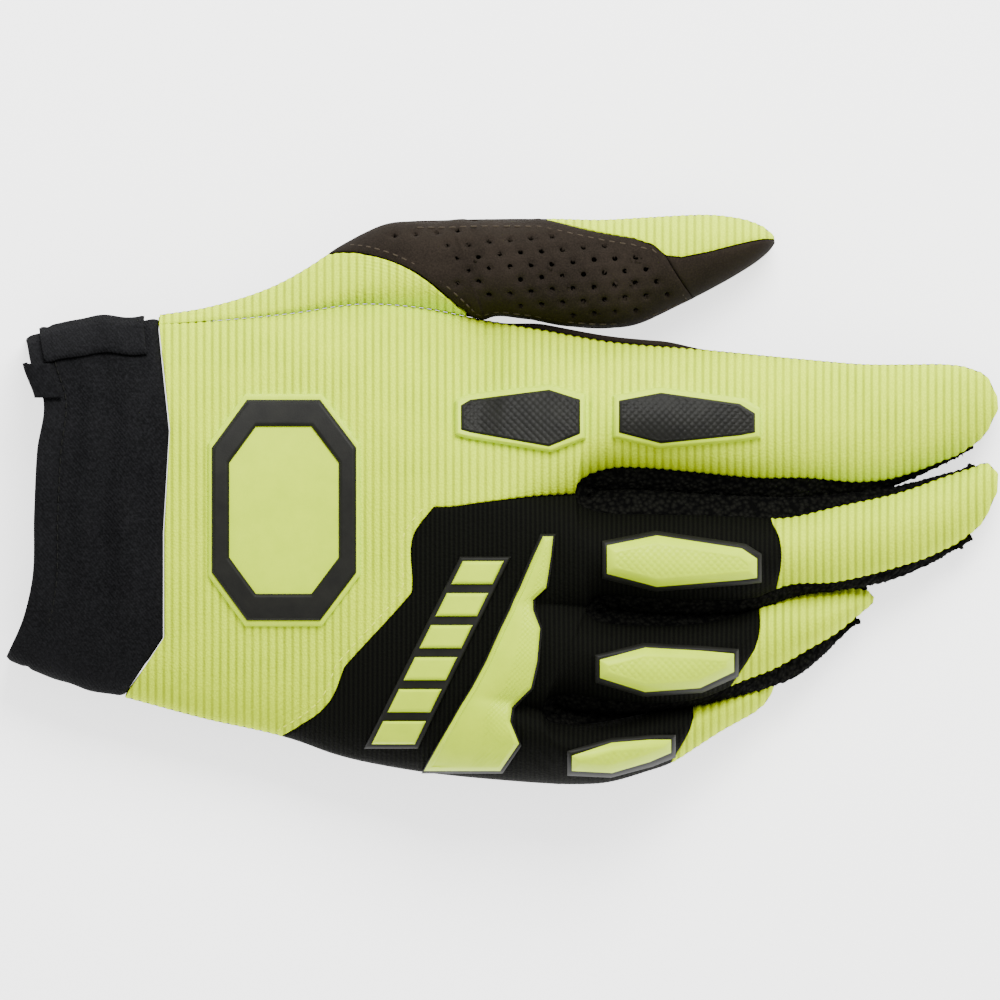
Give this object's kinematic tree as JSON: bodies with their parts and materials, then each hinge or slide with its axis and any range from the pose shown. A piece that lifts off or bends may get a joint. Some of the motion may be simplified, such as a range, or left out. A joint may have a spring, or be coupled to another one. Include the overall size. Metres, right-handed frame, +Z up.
{
  "type": "motocross glove",
  "caption": "Right-hand off-road riding glove lying palm down, rib-knit back, suede palm, moulded knuckle guard and finger pads, open stretch cuff.",
  "frame": {"origin": "middle of the bounding box, on the surface that the glove lies on", "axes": "+X from the cuff to the fingertips, +Y to the thumb side, +Z up through the back of the hand"},
  "size_m": [0.2284, 0.131, 0.0472],
  "materials": {
    "knit": "fluorescent yellow rib knit",
    "dark_knit": "near-black stretch knit",
    "suede": "dark brown synthetic suede",
    "pile": "black looped stretch cloth",
    "cuff_cloth": "charcoal stretch twill",
    "moulded": "moulded fluorescent yellow thermoplastic rubber",
    "dark_moulded": "moulded dark grey thermoplastic rubber"
  },
  "bodies": {
    "root": {"back_panel": "knit", "knuckle_panel": "dark_knit", "middle_tip": "knit", "ring_tip": "knit", "little_tip": "knit", "palm": "suede", "thumb_gusset": "knit", "thumb_patch": "suede", "thumb_back": "knit", "thumb_tip_palm": "suede", "thumb_underside": "suede", "fourchette_index_middle": "pile", "fourchette_middle_ring": "pile", "fourchette_ring_little": "pile", "cuff": "cuff_cloth", "cuff_flap": "cuff_cloth", "cuff_tab": "cuff_cloth", "index_rear_pad": "moulded", "index_rear_pad_insert": "dark_moulded", "index_front_pad": "moulded", "index_front_pad_insert": "dark_moulded", "middle_pad": "dark_moulded", "middle_pad_insert": "moulded", "ring_pad": "dark_moulded", "ring_pad_insert": "moulded", "little_pad": "dark_moulded", "little_pad_insert": "moulded", "knuckle_guard": "dark_moulded", "knuckle_guard_insert": "moulded", "badge": "moulded", "badge_ring": "dark_moulded", "slat_strip": "dark_moulded", "slat_1": "moulded", "slat_2": "moulded", "slat_3": "moulded", "slat_4": "moulded", "slat_5": "moulded", "slat_6": "moulded"}
  },
  "joints": []
}
